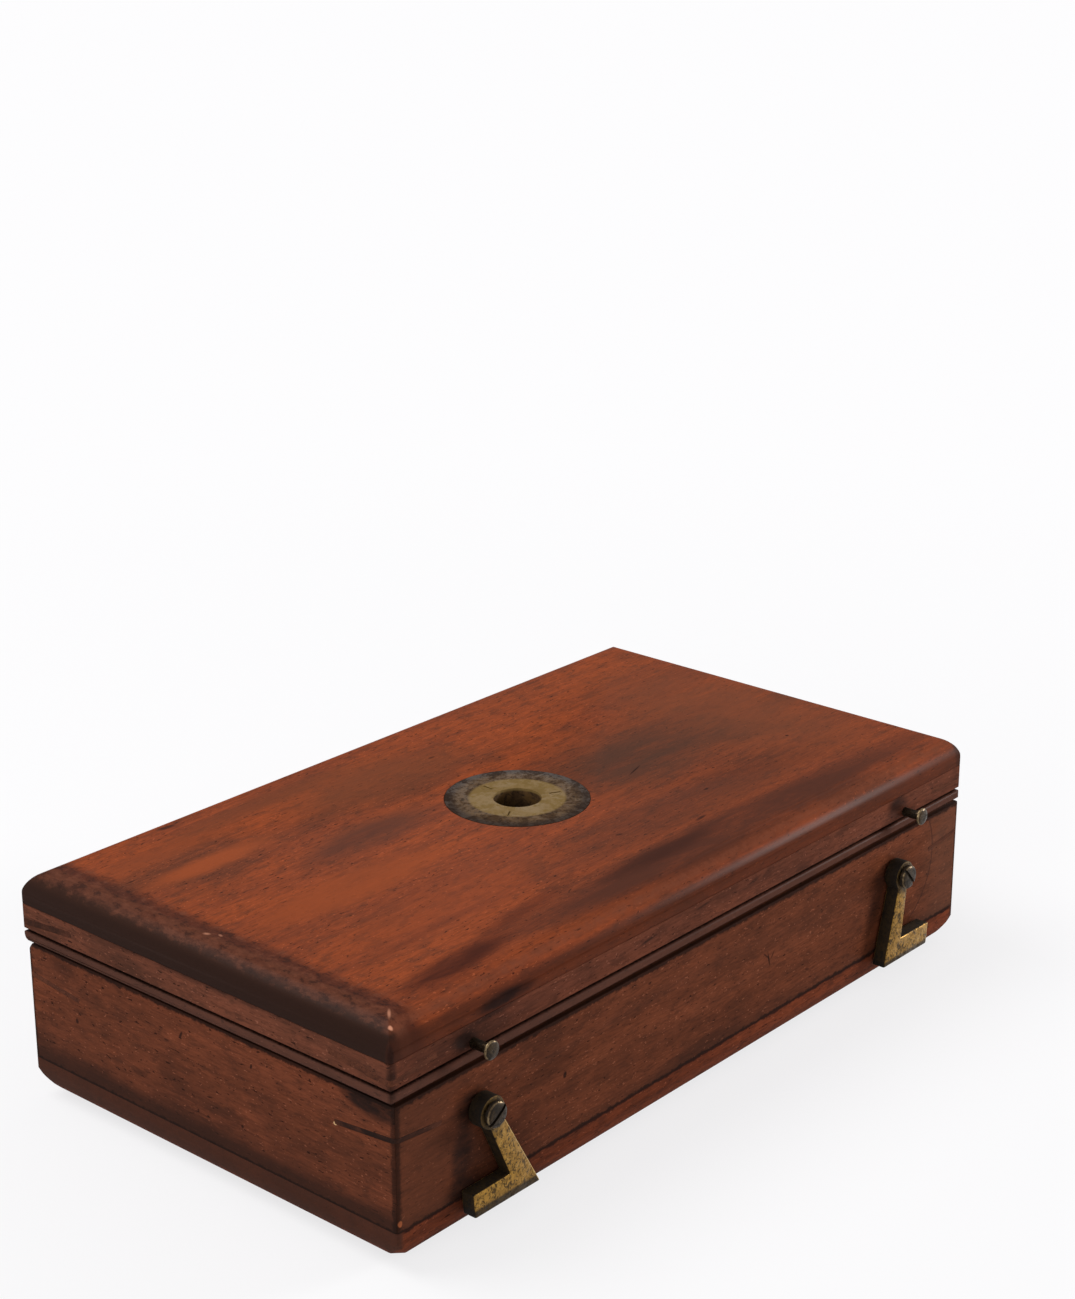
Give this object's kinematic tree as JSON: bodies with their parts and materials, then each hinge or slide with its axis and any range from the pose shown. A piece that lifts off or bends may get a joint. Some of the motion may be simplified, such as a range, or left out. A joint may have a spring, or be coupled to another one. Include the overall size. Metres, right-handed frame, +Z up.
{
  "type": "wooden microscope case",
  "caption": "Hinged wooden case for a pocket microscope, with swinging front hooks, a brass pillar socket in the lid and a lined tray inside.",
  "frame": {"origin": "centre of the face that stands on the table, under the middle of the base (the lid is 1 mm longer than the base and is not centred on it)", "axes": "+X along the length, to the right as seen from the hooks; -Y out of the front, where the hooks are; +Z up, out of the pillar socket"},
  "size_m": [0.161, 0.0938, 0.0436],
  "materials": {
    "mahogany_lid": "old French polish, glossy",
    "mahogany_sides": "old polish, worn",
    "mahogany_ends": "old polish, darkened",
    "mahogany_bottom": "old polish, worn edges",
    "key_wood": "dark, flush with the wood round it",
    "tray_wood": "bare softwood",
    "velvet": "short pile",
    "hook_brass": "mottled, dark in the pits",
    "dark_brass": "tarnished, rubbed on the high parts",
    "socket_brass": "dull patina",
    "hinge_brass": "tarnished"
  },
  "bodies": {
    "base": {"bottom_board": "mahogany_bottom", "front_wall": "mahogany_sides", "back_wall": "mahogany_sides", "left_wall": "mahogany_ends", "right_wall": "mahogany_ends", "base_corner_keys": "key_wood", "tray_block": "tray_wood", "tray_lining": "velvet", "left_hook_screw": "dark_brass", "right_hook_screw": "dark_brass", "left_hinge_base_leaf": "hinge_brass", "left_hinge_pin": "hinge_brass", "right_hinge_base_leaf": "hinge_brass", "right_hinge_pin": "hinge_brass", "hinge_base_screws": "hinge_brass"},
    "lid": {"lid_front_rail": "mahogany_sides", "lid_back_rail": "mahogany_sides", "lid_left_rail": "mahogany_ends", "lid_right_rail": "mahogany_ends", "lid_board": "mahogany_lid", "lid_corner_keys": "key_wood", "lid_pad": "velvet", "socket_plate": "socket_brass", "socket_screws": "socket_brass", "left_stud": "dark_brass", "right_stud": "dark_brass", "left_hinge_lid_leaf": "hinge_brass", "right_hinge_lid_leaf": "hinge_brass", "hinge_lid_screws": "hinge_brass"},
    "left_hook": {"left_hook": "hook_brass"},
    "right_hook": {"right_hook": "hook_brass"}
  },
  "joints": [
    {"name": "lid_hinge", "type": "hinge", "parent": "base", "child": "lid", "pos_m": [0, 0.043, 0.0302], "axis": [-1, 0, 0], "range_deg": [0, 105]},
    {"name": "left_hook_pivot", "type": "hinge", "parent": "base", "child": "left_hook", "pos_m": [-0.061, -0.0462, 0.02215], "axis": [0, 1, 0], "range_deg": [-142, 174.7]},
    {"name": "right_hook_pivot", "type": "hinge", "parent": "base", "child": "right_hook", "pos_m": [0.0568, -0.0462, 0.02266], "axis": [0, -1, 0], "range_deg": [-168, 155.2]}
  ]
}
